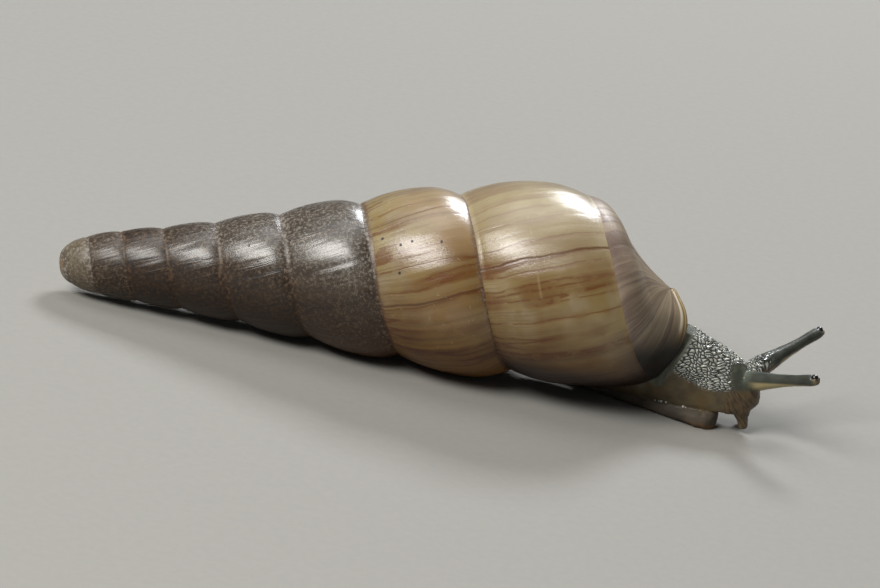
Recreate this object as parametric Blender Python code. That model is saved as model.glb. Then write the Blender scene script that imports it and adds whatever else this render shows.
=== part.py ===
"""Striped land snail with a tall turreted shell, crawling: a still, life-size model.

The sizes below are millimetres, and MM turns them to metres. +Z is up, the floor is
z = 0, the head points to +X and the animal's right side faces -Y.
"""
import math

import bmesh
import bpy
from mathutils import Matrix, Vector

MM = 0.001
OBJECT_NAME = "striped_snail"
GAP = 0.08                   # thin cut between neighbouring pieces

# Shell: a band wound clockwise round its axis, seen from the tip of the spire.
APEX = (-25.40, -0.47, 1.915)
AXIS_RISE = 9.354            # degrees: tip low, mouth high
AXIS_YAW = 0.874             # degrees
FACING = 19.9                # degrees above -Y where the whole-number turns lie
FIRST_SUTURE = 2.327         # from the tip to suture 0
FIRST_PITCH = 2.333          # width of the whorl after it
WHORL_GROWTH = 1.246         # each whorl is this much wider than the one before
TIP_RADIUS, TIP_LENGTH, TIP_ROUNDNESS = 2.112, 6.12, 2.683
BODY_RADIUS = 6.681          # last whorl
FLARE_LENGTH, FLARE_EASE = 33.2, 0.941
SUTURE_DEPTH = 0.12          # share of the radius
SUTURE_POWER = 2.6
SUTURE_RAMP, SUTURE_EASE = 25.0, 0.53   # the sutures deepen over this length from the tip
BELLY = 1.08                 # above 1, a whorl is fullest past its middle
COLUMELLA = 40.6            # where the base meets the axis
BASE_SWELL_LIP, BASE_SWELL_POWER = 2.25, 3.7
BASE_SWELL_SKEW = 1.8        # above 1, the base is fullest near the axis
BASE_SHOULDER, BASE_HOLLOW = 0.85, 0.35     # the base is full below its edge, then hollow
SHOULDER_END = 0.6           # share of the way to the axis
SHOULDER_RISE, SHOULDER_FADE = 0.3, 0.88    # shares of the last turn where both come and go
WALL = 0.5
MOUTH_DEPTH = 0.05           # turns
SEGMENTS = 40                # columns in a turn
COLUMNS = 344                # columns in all
SLANT = 2                    # columns by which a growth line leans across a whorl
BASE_SLANT = 0.06            # turns by which it leans on across the base
BAND_ROWS, BASE_ROWS = 6, 9
COLLAR_BULGE = 0.8

# Flesh: a centre line, and stations of (x, half width, height).
HEAD_X, HEAD_Y = 20.1, -0.57
BODY_SLOPE, BODY_BEND = 0.179, 1.15
GROOVE_AT_HEAD, GROOVE_SLOPE = 1.3, 0.09
TAIL_CUT, HEAD_CUT = 9.95, 19.6
NECK_STATIONS = ((9.2, 0.85, 0.75), (10.4, 1.05, 1.25), (11.6, 1.5, 2.7), (13.5, 1.95, 4.8),
                 (16.2, 1.95, 6.1), (18.0, 1.75, 5.6), (19.4, 1.6, 5.2), (20.4, 1.5, 4.65),
                 (21.2, 1.35, 4.0), (21.7, 1.05, 3.35), (21.95, 0.5, 2.75))
FOOT_STATIONS = ((TAIL_CUT + GAP / 2, 0.95), (11.6, 1.0), (13.4, 1.35), (15.2, 1.55),
                 (17.0, 1.95), (18.1, 2.1), (18.8, 1.85), (19.25, 1.4), (19.5, 0.75))
TAIL_STATIONS = ((4.9, 0.25, 0.2), (5.6, 0.45, 0.5), (7.4, 0.75, 0.8),
                 (TAIL_CUT - GAP / 2, 0.95, 0.9))
CHIN_HEIGHT, CHIN_LENGTH, CHIN_CURVE = 2.0, 2.35, 1.25
SECTION_ROUNDNESS = 2.2
SECTION_STEPS = 16
STATION_STEPS = 2            # extra sections between stations

# Tentacles: (start, direction turn from +X, rise), each with its radii along it.
UPPER_LENGTH = 7.1
UPPER_SPREAD, HEAD_TURN = 41.0, 2.0
UPPER_RISE = {"right": 23.4, "left": 21.9}
UPPER_ROOTS = {"right": (19.97, -0.43, 3.08), "left": (20.66, -0.53, 3.68)}
UPPER_RADII = ((0.0, 0.72), (0.2, 0.68), (0.34, 0.60), (0.46, 0.48), (0.60, 0.38), (0.75, 0.33),
               (0.88, 0.35), (0.95, 0.35), (1.0, 0.27))
EYE_RADIUS = 0.25
EYE_SEAT = 0.965             # share of the tentacle's length
EYE_LIFT = 0.15
LOWER_LENGTH = 1.3
LOWER_SPREAD, LOWER_FALL = 20.0, -71.0
LOWER_ROOTS = {"right": (20.93, -1.3, 1.65), "left": (20.93, 0.16, 1.65)}
LOWER_RADII = ((0.0, 0.60), (0.2, 0.52), (0.45, 0.37), (0.75, 0.29), (1.0, 0.25))
TENTACLE_SIDES = 10

COLORS = {
    "shell": (0.34, 0.23, 0.12), "mantle_collar": (0.30, 0.28, 0.24),
    "neck": (0.12, 0.13, 0.14), "head": (0.13, 0.13, 0.13), "foot": (0.36, 0.35, 0.30),
    "tail": (0.30, 0.28, 0.22), "tentacle": (0.14, 0.15, 0.14), "eye": (0.01, 0.01, 0.01),
}
GLOSS = {"shell": 0.25, "eye": 0.1}


def clear_scene():
    for item in list(bpy.data.objects):
        bpy.data.objects.remove(item, do_unlink=True)


def make_collection(name):
    collection = bpy.data.collections.new(name)
    bpy.context.scene.collection.children.link(collection)
    return collection


def make_material(name):
    material = bpy.data.materials.new(name)
    material.use_nodes = True
    shader = material.node_tree.nodes["Principled BSDF"]
    shader.inputs["Base Color"].default_value = (*COLORS[name], 1.0)
    shader.inputs["Roughness"].default_value = GLOSS.get(name, 0.4)
    shader.inputs["Metallic"].default_value = 0.0
    return material


def object_from_bmesh(name, mesh_data, collection, finish):
    """Closes the work on a mesh: faces outward, shaded smooth, in its collection."""
    bmesh.ops.recalc_face_normals(mesh_data, faces=mesh_data.faces)
    mesh = bpy.data.meshes.new(name)
    mesh_data.to_mesh(mesh)
    mesh_data.free()
    mesh.shade_smooth()
    mesh.materials.append(make_material(finish))
    item = bpy.data.objects.new(name, mesh)
    collection.objects.link(item)
    return item


# ---------------------------------------------------------------- shell surface

def envelope(along):
    """Radius of the spire's outline at a distance from the tip."""
    tip = 1.0 - (1.0 - min(along / TIP_LENGTH, 1.0)) ** TIP_ROUNDNESS
    flare = 1.0 - math.cos(math.pi * min(along / FLARE_LENGTH, 1.0) ** FLARE_EASE)
    return TIP_RADIUS * tip ** (1.0 / TIP_ROUNDNESS) + (BODY_RADIUS - TIP_RADIUS) * flare / 2.0


def suture(turn):
    """Distance along the axis of the groove below the whorl, which widens each turn."""
    widened = (WHORL_GROWTH ** turn - 1.0) / (WHORL_GROWTH - 1.0)
    return max(FIRST_SUTURE + FIRST_PITCH * widened, 0.0)


def first_turn():
    """Turn at which the suture leaves the tip."""
    return math.log(1.0 - FIRST_SUTURE * (WHORL_GROWTH - 1.0) / FIRST_PITCH, WHORL_GROWTH)


def whorl(turn, across):
    """(along, radius) on the band, from the upper suture (0) to the lower one (1)."""
    along = suture(turn - 1.0) + (suture(turn) - suture(turn - 1.0)) * across
    pinch = abs(2.0 * across ** BELLY - 1.0) ** SUTURE_POWER
    deepened = min(along / SUTURE_RAMP, 1.0) ** SUTURE_EASE
    return along, envelope(along) * (1.0 - SUTURE_DEPTH * deepened * pinch)


def base(turn, across, last_turn):
    """(along, radius) on the base, from the last whorl's edge (0) to the axis (1)."""
    edge, rim = whorl(turn, 1.0)
    angle = across * math.pi / 2.0
    growth = min(max(turn - last_turn + 1.0, 0.0), 1.0)
    swell = BASE_SWELL_LIP * growth ** BASE_SWELL_POWER
    radius = rim * math.cos(angle)
    crown = swell * math.sin(math.pi * across ** BASE_SWELL_SKEW)
    shoulder = min(across / SHOULDER_END, 1.0)
    hollow = max((across - SHOULDER_END) / (1.0 - SHOULDER_END), 0.0)
    fullness = (BASE_SHOULDER * math.sin(math.pi * shoulder)
                - BASE_HOLLOW * math.sin(math.pi * hollow))
    present = min(growth / SHOULDER_RISE, 1.0) * (1.0 - min(growth / SHOULDER_FADE, 1.0) ** 4)
    crown += fullness * present
    along = edge + (COLUMELLA - edge) * (1.0 - radius / rim) + crown
    return along, radius


def shell_point(turn, along, radius):
    """A point of the shell, placed in the world."""
    angle = math.radians(FACING) - 2.0 * math.pi * turn
    local = Vector((along, -radius * math.cos(angle), radius * math.sin(angle)))
    placed = (Matrix.Translation(APEX) @ Matrix.Rotation(math.radians(AXIS_YAW), 4, "Z")
              @ Matrix.Rotation(math.radians(-AXIS_RISE), 4, "Y") @ local)
    return placed


def column_turn(column):
    return first_turn() + column / SEGMENTS


def band_vertex(column, row, swell=0.0):
    across = row / BAND_ROWS
    turn = column_turn(column) - across * SLANT / SEGMENTS
    along, radius = whorl(turn, across)
    return shell_point(turn, along, radius + swell * min(along, 1.0))


def base_vertex(column, row, swell=0.0):
    across = row / BASE_ROWS
    turn = column_turn(column) - SLANT / SEGMENTS - across * BASE_SLANT
    along, radius = base(turn, across, column_turn(COLUMNS))
    return shell_point(turn, along + swell * across, radius + swell * (1.0 - across))


def first_base_column():
    """The base column that starts at the suture where the last whorl ends."""
    return COLUMNS - SEGMENTS + SLANT


def mouth_loop(back=0.0, swell=0.0):
    """The mouth's outline: outer wall, base, axis, and back along the whorl before."""
    column = COLUMNS - back * SEGMENTS
    inner = first_base_column() - back * SEGMENTS
    loop = [band_vertex(column, row, swell) for row in range(BAND_ROWS + 1)]
    loop += [base_vertex(column, row, swell) for row in range(1, BASE_ROWS + 1)]
    loop += [base_vertex(inner, row, swell) for row in range(BASE_ROWS - 1, 0, -1)]
    return loop


def middle_of(points):
    return sum(points, Vector()) / len(points)


def inset(loop, distance):
    middle = middle_of(loop)
    return [point + (middle - point).normalized() * distance for point in loop]


def mouth_direction():
    """The way the mouth opens: the direction of growth at its middle."""
    return (middle_of(mouth_loop()) - middle_of(mouth_loop(MOUTH_DEPTH))).normalized()


# ---------------------------------------------------------------- mesh helpers

def add_points(mesh_data, points):
    return [mesh_data.verts.new(point * MM) for point in points]


def add_face(mesh_data, corners):
    """A face on its different corners: none where the band narrows to nothing."""
    distinct = list(dict.fromkeys(corners))
    if len(distinct) > 2:
        mesh_data.faces.new(distinct)


def join_rings(mesh_data, ring, following):
    count = len(ring)
    for i in range(count):
        j = (i + 1) % count
        add_face(mesh_data, (ring[i], ring[j], following[j], following[i]))


def close_ring(mesh_data, ring, middle):
    tip = mesh_data.verts.new(middle * MM)
    for i in range(len(ring)):
        add_face(mesh_data, (ring[i], ring[(i + 1) % len(ring)], tip))


def loft(rings):
    """A closed body through rings of equal length, each end closed on its middle."""
    mesh_data = bmesh.new()
    loops = [add_points(mesh_data, ring) for ring in rings]
    for ring, following in zip(loops, loops[1:]):
        join_rings(mesh_data, ring, following)
    close_ring(mesh_data, loops[0], middle_of(rings[0]))
    close_ring(mesh_data, loops[-1], middle_of(rings[-1]))
    return mesh_data


def trim(mesh_data, point, normal):
    """Cuts away what lies beyond a plane and closes the cut."""
    cut = bmesh.ops.bisect_plane(
        mesh_data, geom=mesh_data.verts[:] + mesh_data.edges[:] + mesh_data.faces[:],
        dist=1e-7, plane_co=Vector(point) * MM, plane_no=normal, clear_outer=True)
    edges = [item for item in cut["geom_cut"] if isinstance(item, bmesh.types.BMEdge)]
    bmesh.ops.triangle_fill(mesh_data, use_beauty=True, edges=edges)


def subtract(item, cutter):
    """Takes the cutter out of an object with an EXACT boolean."""
    modifier = item.modifiers.new("cut_by_" + cutter.name, "BOOLEAN")
    modifier.operation = "DIFFERENCE"
    modifier.solver = "EXACT"
    modifier.object = cutter


def hide_cutter(item):
    item.hide_render = True
    item.display_type = "WIRE"
    return item


# ---------------------------------------------------------------- shell and collar

def wind_shell(mesh_data, swell=0.0):
    """The outer surface, open at the mouth. Returns the mouth's ring of vertices."""
    tip = mesh_data.verts.new(shell_point(0.0, 0.0, 0.0) * MM)
    step = SEGMENTS - SLANT
    grid = {}
    for column in range(1, COLUMNS + 1):
        for row in range(1, BAND_ROWS + 1):
            grid[column, row] = mesh_data.verts.new(band_vertex(column, row, swell) * MM)

    def vertex(column, row):
        if row == 0:
            column, row = column - step, BAND_ROWS
        return grid.get((column, row), tip)

    for column in range(COLUMNS):
        for row in range(BAND_ROWS):
            add_face(mesh_data, (vertex(column, row), vertex(column + 1, row),
                                 vertex(column + 1, row + 1), vertex(column, row + 1)))

    start = first_base_column()
    pole = mesh_data.verts.new(base_vertex(COLUMNS, BASE_ROWS, swell) * MM)
    floor = {(column, 0): grid[column, BAND_ROWS] for column in range(start, COLUMNS + 1)}
    for column in range(start, COLUMNS + 1):
        for row in range(1, BASE_ROWS):
            floor[column, row] = mesh_data.verts.new(base_vertex(column, row, swell) * MM)
        floor[column, BASE_ROWS] = pole
    for column in range(start, COLUMNS):
        for row in range(BASE_ROWS):
            add_face(mesh_data, (floor[column, row], floor[column + 1, row],
                                 floor[column + 1, row + 1], floor[column, row + 1]))

    ring = [vertex(COLUMNS, row) for row in range(BAND_ROWS + 1)]
    ring += [floor[COLUMNS, row] for row in range(1, BASE_ROWS + 1)]
    ring += [floor[start, row] for row in range(BASE_ROWS - 1, 0, -1)]
    return ring


def rest_on_floor(mesh_data):
    """Small flats where the spire and the whorls touch the floor."""
    for vertex in mesh_data.verts:
        vertex.co.z = max(vertex.co.z, 0.0)


def make_shell(collection):
    mesh_data = bmesh.new()
    ring = wind_shell(mesh_data)
    for back in (0.0, MOUTH_DEPTH / 2.0, MOUTH_DEPTH):
        following = add_points(mesh_data, inset(mouth_loop(back), WALL))
        join_rings(mesh_data, ring, following)
        ring = following
    close_ring(mesh_data, ring, middle_of(inset(mouth_loop(MOUTH_DEPTH), WALL)))
    bmesh.ops.remove_doubles(mesh_data, verts=mesh_data.verts, dist=0.01 * MM)
    rest_on_floor(mesh_data)
    return object_from_bmesh("shell", mesh_data, collection, "shell")


def collar_cap(swell=0.0):
    """The collar's outer face: the mouth's inner outline, and a crown over it."""
    outline = inset(mouth_loop(MOUTH_DEPTH * 0.15), WALL + GAP)
    crown = middle_of(outline) + mouth_direction() * (COLLAR_BULGE + swell)
    shoulder = [point.lerp(crown, 0.35) + mouth_direction() * COLLAR_BULGE * 0.35
                for point in outline]
    return outline, shoulder, crown


def make_collar(collection):
    mesh_data = bmesh.new()
    back = inset(mouth_loop(MOUTH_DEPTH * 0.85), WALL + GAP)
    outline, shoulder, crown = collar_cap()
    rings = [add_points(mesh_data, ring) for ring in (back, outline, shoulder)]
    join_rings(mesh_data, rings[0], rings[1])
    join_rings(mesh_data, rings[1], rings[2])
    close_ring(mesh_data, rings[0], middle_of(back))
    close_ring(mesh_data, rings[2], crown)
    return object_from_bmesh("mantle_collar", mesh_data, collection, "mantle_collar")


def make_shell_cutter(collection):
    """The shell and its collar, a thin cut larger, to shape the flesh beside them."""
    mesh_data = bmesh.new()
    ring = wind_shell(mesh_data, swell=GAP)
    outline, shoulder, crown = collar_cap(2.0 * GAP)
    lift = mouth_direction() * GAP * 2.0
    for loop in (mouth_loop(-0.004, GAP), [point + lift for point in shoulder]):
        following = add_points(mesh_data, loop)
        join_rings(mesh_data, ring, following)
        ring = following
    close_ring(mesh_data, ring, crown)
    bmesh.ops.remove_doubles(mesh_data, verts=mesh_data.verts, dist=0.01 * MM)
    return hide_cutter(object_from_bmesh("shell_cutter", mesh_data, collection, "shell"))


# ---------------------------------------------------------------- flesh

def centre_y(x):
    """The body's centre line: it swings to the left behind the head."""
    return HEAD_Y + BODY_SLOPE * max(HEAD_X - x, 0.0) ** BODY_BEND


def groove_height(x):
    return GROOVE_AT_HEAD + GROOVE_SLOPE * (x - HEAD_X)


def smooth_stations(stations):
    """Stations with extra ones between, on a smooth curve through them."""
    result = []
    last = len(stations) - 1
    for i in range(last):
        before, here = Vector(stations[max(i - 1, 0)]), Vector(stations[i])
        after, beyond = Vector(stations[i + 1]), Vector(stations[min(i + 2, last)])
        for step in range(STATION_STEPS):
            t = step / STATION_STEPS
            result.append(0.5 * (2.0 * here + (after - before) * t
                                 + (2.0 * before - 5.0 * here + 4.0 * after - beyond) * t * t
                                 + (3.0 * here - before - 3.0 * after + beyond) * t ** 3))
    return result + [Vector(stations[-1])]


def rounded_power(value):
    return math.copysign(abs(value) ** (2.0 / SECTION_ROUNDNESS), value)


def neck_section(x, half_width, top):
    """An upright rounded oval from below the groove to the height of the back."""
    bottom = CHIN_HEIGHT * min(max((x - HEAD_CUT) / CHIN_LENGTH, 0.0), 1.0) ** CHIN_CURVE
    middle, reach = (top + bottom) / 2.0, (top - bottom) / 2.0
    ring = []
    for step in range(SECTION_STEPS):
        angle = 2.0 * math.pi * step / SECTION_STEPS
        ring.append(Vector((x, centre_y(x) + half_width * rounded_power(math.cos(angle)),
                            middle + reach * rounded_power(math.sin(angle)))))
    return ring


def slab_section(x, half_width, top):
    """A flat sole, a rounded side and a flat or ridged top."""
    profile = ((-0.9, 0.0), (-1.0, 0.3), (-0.97, 0.7), (-0.85, 1.0),
               (0.85, 1.0), (0.97, 0.7), (1.0, 0.3), (0.9, 0.0))
    return [Vector((x, centre_y(x) + side * half_width, height * top)) for side, height in profile]


def tail_section(x, half_width, top):
    """A flat sole under a low ridge."""
    profile = ((-0.92, 0.0), (-1.0, 0.25), (-0.8, 0.65), (-0.4, 0.93), (0.0, 1.0),
               (0.4, 0.93), (0.8, 0.65), (1.0, 0.25), (0.92, 0.0))
    return [Vector((x, centre_y(x) + side * half_width, height * top)) for side, height in profile]


def upper_body(swell=0.0):
    """The neck and head as one form, cut flat along the groove over the foot."""
    stations = [(x, half_width + swell, top + swell) for x, half_width, top in NECK_STATIONS]
    mesh_data = loft([neck_section(*station) for station in smooth_stations(stations)])
    floor = (HEAD_X, 0.0, GROOVE_AT_HEAD + GAP / 2.0 - swell)
    trim(mesh_data, floor, (GROOVE_SLOPE, 0.0, -1.0))
    return mesh_data


def make_upper_body(name, collection, cutter, keep_front):
    """The neck or the head, parted by a thin cut across."""
    mesh_data = upper_body()
    if keep_front:
        trim(mesh_data, (HEAD_CUT + GAP / 2.0, 0.0, 0.0), (-1.0, 0.0, 0.0))
    else:
        trim(mesh_data, (HEAD_CUT - GAP / 2.0, 0.0, 0.0), (1.0, 0.0, 0.0))
        trim(mesh_data, (TAIL_CUT + GAP / 2.0, 0.0, 0.0), (-1.0, 0.0, 0.0))
    item = object_from_bmesh(name, mesh_data, collection, name)
    if cutter is not None:
        subtract(item, cutter)
    return item


def make_foot(collection):
    sections = [slab_section(x, half_width, groove_height(x) - GAP / 2.0)
                for x, half_width in smooth_stations(FOOT_STATIONS)]
    return object_from_bmesh("foot", loft(sections), collection, "foot")


def make_tail(collection, cutter):
    sections = [tail_section(*station) for station in smooth_stations(TAIL_STATIONS)]
    item = object_from_bmesh("tail", loft(sections), collection, "tail")
    subtract(item, cutter)
    return item


# ---------------------------------------------------------------- tentacles and eyes

def tube(name, points, radii, collection, swell=0.0):
    """A tapered tube along a line of points, as a mesh with welded caps."""
    curve = bpy.data.curves.new(name, "CURVE")
    curve.dimensions = "3D"
    curve.bevel_depth = MM
    curve.bevel_resolution = TENTACLE_SIDES // 2 - 2
    curve.use_fill_caps = True
    spline = curve.splines.new("POLY")
    spline.points.add(len(points) - 1)
    for target, point, radius in zip(spline.points, points, radii):
        target.co = (*(point * MM), 1.0)
        target.radius = radius + swell
    guide = bpy.data.objects.new(name + "_curve", curve)
    collection.objects.link(guide)
    bpy.context.view_layer.update()
    mesh = bpy.data.meshes.new_from_object(
        guide.evaluated_get(bpy.context.evaluated_depsgraph_get()))
    bpy.data.objects.remove(guide, do_unlink=True)
    mesh_data = bmesh.new()
    mesh_data.from_mesh(mesh)
    bpy.data.meshes.remove(mesh)
    bmesh.ops.remove_doubles(mesh_data, verts=mesh_data.verts, dist=0.001 * MM)
    return mesh_data


def heading(turn, rise):
    """A direction turned left from +X and raised, both in degrees."""
    return Vector((math.cos(math.radians(rise)) * math.cos(math.radians(turn)),
                   math.cos(math.radians(rise)) * math.sin(math.radians(turn)),
                   math.sin(math.radians(rise))))


def ball(name, centre, radius, collection, finish):
    mesh_data = bmesh.new()
    bmesh.ops.create_uvsphere(mesh_data, u_segments=12, v_segments=8, radius=radius * MM,
                              matrix=Matrix.Translation(centre * MM))
    return object_from_bmesh(name, mesh_data, collection, finish)


def make_upper_tentacle(side, parts, cutters, head):
    """A long eye-stalk with a knob at its end, and the eye seated in the knob."""
    spread = UPPER_SPREAD if side == "left" else -UPPER_SPREAD
    along = heading(HEAD_TURN + spread, UPPER_RISE[side])
    root = Vector(UPPER_ROOTS[side])
    points = [root + along * UPPER_LENGTH * share for share, _ in UPPER_RADII]
    mesh_data = tube("stalk", points, [radius for _, radius in UPPER_RADII], parts)
    stalk = object_from_bmesh("upper_tentacle_" + side, mesh_data, parts, "tentacle")
    subtract(stalk, head)
    seat = root + along * UPPER_LENGTH * EYE_SEAT + Vector((0.0, 0.0, EYE_LIFT))
    socket = ball("eye_socket_" + side, seat, EYE_RADIUS + GAP / 2.0, cutters, "tentacle")
    subtract(stalk, hide_cutter(socket))
    ball("eye_" + side, seat, EYE_RADIUS, parts, "eye")


def make_lower_tentacle(side, parts, head):
    """A short feeler under the head."""
    spread = LOWER_SPREAD if side == "left" else -LOWER_SPREAD
    along = heading(HEAD_TURN + spread, LOWER_FALL)
    root = Vector(LOWER_ROOTS[side])
    points = [root + along * LOWER_LENGTH * share for share, _ in LOWER_RADII]
    mesh_data = tube("feeler", points, [radius for _, radius in LOWER_RADII], parts)
    feeler = object_from_bmesh("lower_tentacle_" + side, mesh_data, parts, "tentacle")
    subtract(feeler, head)


def make_head_cutter(collection):
    """The head, a thin cut larger, to shape the roots of the tentacles."""
    mesh_data = upper_body(swell=GAP * 0.7)
    return hide_cutter(object_from_bmesh("head_cutter", mesh_data, collection, "head"))


def build():
    clear_scene()
    parts = make_collection(OBJECT_NAME)
    cutters = make_collection("cutters")
    make_shell(parts)
    make_collar(parts)
    shell_cutter = make_shell_cutter(cutters)
    head_cutter = make_head_cutter(cutters)
    make_upper_body("neck", parts, shell_cutter, keep_front=False)
    make_upper_body("head", parts, None, keep_front=True)
    make_foot(parts)
    make_tail(parts, shell_cutter)
    for side in ("right", "left"):
        make_upper_tentacle(side, parts, cutters, head_cutter)
        make_lower_tentacle(side, parts, head_cutter)


build()
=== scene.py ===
"""Looks of the striped land snail: a still, life-size model of the crawling animal.

Lengths are millimetres until MM turns them to metres. +X is the way the head points,
+Z is up and the floor is z = 0.
"""

import math

import bmesh
import bpy
import numpy as np
from mathutils import Matrix, Vector


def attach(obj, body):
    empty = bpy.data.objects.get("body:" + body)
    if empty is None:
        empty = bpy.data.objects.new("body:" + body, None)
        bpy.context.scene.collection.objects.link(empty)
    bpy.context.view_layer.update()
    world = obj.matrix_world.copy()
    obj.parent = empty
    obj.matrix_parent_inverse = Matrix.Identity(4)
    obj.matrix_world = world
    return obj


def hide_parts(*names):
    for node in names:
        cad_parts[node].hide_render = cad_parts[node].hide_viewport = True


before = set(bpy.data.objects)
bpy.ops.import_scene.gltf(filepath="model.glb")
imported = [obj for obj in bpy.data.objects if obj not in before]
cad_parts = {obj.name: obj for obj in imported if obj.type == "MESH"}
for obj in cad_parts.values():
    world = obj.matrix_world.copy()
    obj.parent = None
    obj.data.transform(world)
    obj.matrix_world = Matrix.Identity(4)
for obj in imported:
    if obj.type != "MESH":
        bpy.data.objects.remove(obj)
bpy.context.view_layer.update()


# ---------------------------------------------------------------- camera
# A long macro lens, 20 degrees above the floor, rolled so that the floor slopes down to the
# right and the animal seems to crawl downhill.
MM = 0.001
CAMERA_AIM = (-0.17, 1.033, 4.519)
CAMERA_DISTANCE, NEAREST = 244.46, 10.0
CAMERA_ELEVATION, CAMERA_ROLL = 20.0, 11.5
CAMERA_LENS, SENSOR_WIDTH = 150.0, 36.0


def add_object(name, data):
    """Puts a new object into the scene, at the origin."""
    item = bpy.data.objects.new(name, data)
    bpy.context.scene.collection.objects.link(item)
    return item


macro_lens = bpy.data.cameras.new("camera")
macro_lens.lens = CAMERA_LENS
macro_lens.sensor_width = SENSOR_WIDTH
macro_lens.clip_start = NEAREST * MM
camera = add_object("camera", macro_lens)
camera.matrix_world = (
    Matrix.Translation(Vector(CAMERA_AIM) * MM)
    @ Matrix.Rotation(math.radians(90.0 - CAMERA_ELEVATION), 4, "X")
    @ Matrix.Rotation(math.radians(CAMERA_ROLL), 4, "Z")
    @ Matrix.Translation((0.0, 0.0, CAMERA_DISTANCE * MM)))
bpy.context.scene.camera = camera


# ---------------------------------------------------------------- studio floor and lights
# A matt pale sheet under the model, a large soft box at the front left, a smaller one high
# behind it, which edges the whorls and makes the wet skin glint, and a weak fill above.
def linear(code):
    """An sRGB hex colour as the linear RGBA that the shaders take."""
    shares = [int(code[i:i + 2], 16) / 255.0 for i in (1, 3, 5)]
    return tuple(s / 12.92 if s <= 0.04045 else ((s + 0.055) / 1.055) ** 2.4
                 for s in shares) + (1.0,)


def add_node(tree, kind, links=(), operation=None, **settings):
    """Adds a node. Links gives its inputs, in order or by name, as values or as nodes."""
    node = tree.nodes.new(kind)
    if operation:
        node.operation = operation
    for name, value in settings.items():
        setattr(node, name, value)
    for key, value in links.items() if isinstance(links, dict) else enumerate(links):
        source = value.outputs[0] if isinstance(value, bpy.types.Node) else value
        if isinstance(source, bpy.types.NodeSocket):
            tree.links.new(source, node.inputs[key])
        elif source is not None:
            node.inputs[key].default_value = source
    return node


def new_material(name, finish):
    """A material with a finish set on its shader's sockets. Returns it, its tree and shader."""
    material = bpy.data.materials.new(name)
    material.use_nodes = True
    shader = material.node_tree.nodes["Principled BSDF"]
    for socket, value in finish.items():
        shader.inputs[socket].default_value = value
    return material, material.node_tree, shader


MATH, MIX, RANGE = "ShaderNodeMath", "ShaderNodeMix", "ShaderNodeMapRange"


def mottle(tree, shader, grain, colors):
    """Colours a surface with soft spots of two near tones, a grain in mm apart."""
    spots = add_node(tree, "ShaderNodeTexNoise", {
        "Vector": add_node(tree, "ShaderNodeTexCoord").outputs["Object"],
        "Scale": 1.0 / (grain * MM)})
    shade = add_node(tree, MIX, {"Factor": spots, 6: linear(colors[0]), 7: linear(colors[1])},
                     data_type="RGBA")
    tree.links.new(shade.outputs[2], shader.inputs["Base Color"])


FLOOR_SIZE = 3000.0
PAPER_GRAIN = 0.6            # coarser than real fibres, so that the sheet isn't blank
PAPER_COLORS = ("#979590", "#9d9b96")
WORLD_COLOR, WORLD_STRENGTH = "#e8ecf0", 0.10

# Matt coated paper: an even, slightly warm white that reflects no lights.
paper, look, shader = new_material("matt_coated_paper",
                                   {"Roughness": 0.85, "Specular IOR Level": 0.15})
mottle(look, shader, PAPER_GRAIN, PAPER_COLORS)

sheet = bpy.data.meshes.new("studio_floor")
half = FLOOR_SIZE / 2.0 * MM
sheet.from_pydata([(-half, -half, 0), (half, -half, 0), (half, half, 0), (-half, half, 0)], [],
                  [(0, 1, 2, 3)])
sheet.materials.append(paper)
add_object("studio_floor", sheet)

# name: direction from the model in degrees (azimuth, elevation), distance, size, watts, colour
LIGHTS = {
    "front_soft_box": (-135.0, 44.0, 420.0, (210.0, 160.0), 1.7, "#fffdf8"),
    "rear_box": (76.0, 42.0, 380.0, (105.0, 95.0), 1.1, "#f8fbff"),
    "top_fill": (150.0, 72.0, 500.0, (300.0, 300.0), 0.65, "#ffffff"),
}
for name, (azimuth, elevation, distance, size, power, color) in LIGHTS.items():
    lamp = bpy.data.lights.new(name, "AREA")
    lamp.shape = "RECTANGLE"
    lamp.size, lamp.size_y = size[0] * MM, size[1] * MM
    lamp.energy = power
    lamp.color = linear(color)[:3]
    around, up = math.radians(azimuth), math.radians(elevation)
    toward = Vector((math.cos(around) * math.cos(up), math.sin(around) * math.cos(up),
                     math.sin(up)))
    add_object(name, lamp).matrix_world = (
        Matrix.Translation((Vector(CAMERA_AIM) + toward * distance) * MM)
        @ toward.to_track_quat("Z", "Y").to_matrix().to_4x4())

world = bpy.data.worlds.new("studio")
world.use_nodes = True
sky = world.node_tree.nodes["Background"]
sky.inputs["Color"].default_value = linear(WORLD_COLOR)
sky.inputs["Strength"].default_value = WORLD_STRENGTH
bpy.context.scene.world = world
bpy.context.scene.view_settings.view_transform = "Standard"


# ---------------------------------------------------------------- shell
# The snail's shell is lime, in layers, under a thin horny skin. The animal lays it down
# turn after turn at the lip, so it is one band wound round an axis, widening each turn,
# and every growth line is a place where the lip once was.
FIRST_SUTURE, FIRST_PITCH, WHORL_GROWTH = 2.327, 2.333, 1.246
TURNS = 8.6
COLUMNS_PER_TURN = 240
BAND_ROWS, BASE_ROWS = 26, 40
LEAN_COLUMNS = 12
LEAN = LEAN_COLUMNS / COLUMNS_PER_TURN      # turns by which a growth line slants across a whorl
BASE_LEAN = 0.06
FIRST_TURN = math.log(1.0 - FIRST_SUTURE * (WHORL_GROWTH - 1.0) / FIRST_PITCH, WHORL_GROWTH)
LAST_TURN = FIRST_TURN + TURNS
APEX = (-25.40, -0.47, 1.915)
AXIS_RISE, AXIS_YAW, FACING = 9.354, 0.874, 19.9

GROWTH_WRINKLES = {"Wrinkle": 9.0, "Striae": 46.0}     # number in a turn
FULL_RADIUS = 6.0            # a whorl this wide has its wrinkles in full

FLOAT, INT, GEOMETRY = "NodeSocketFloat", "NodeSocketInt", "NodeSocketGeometry"


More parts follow.
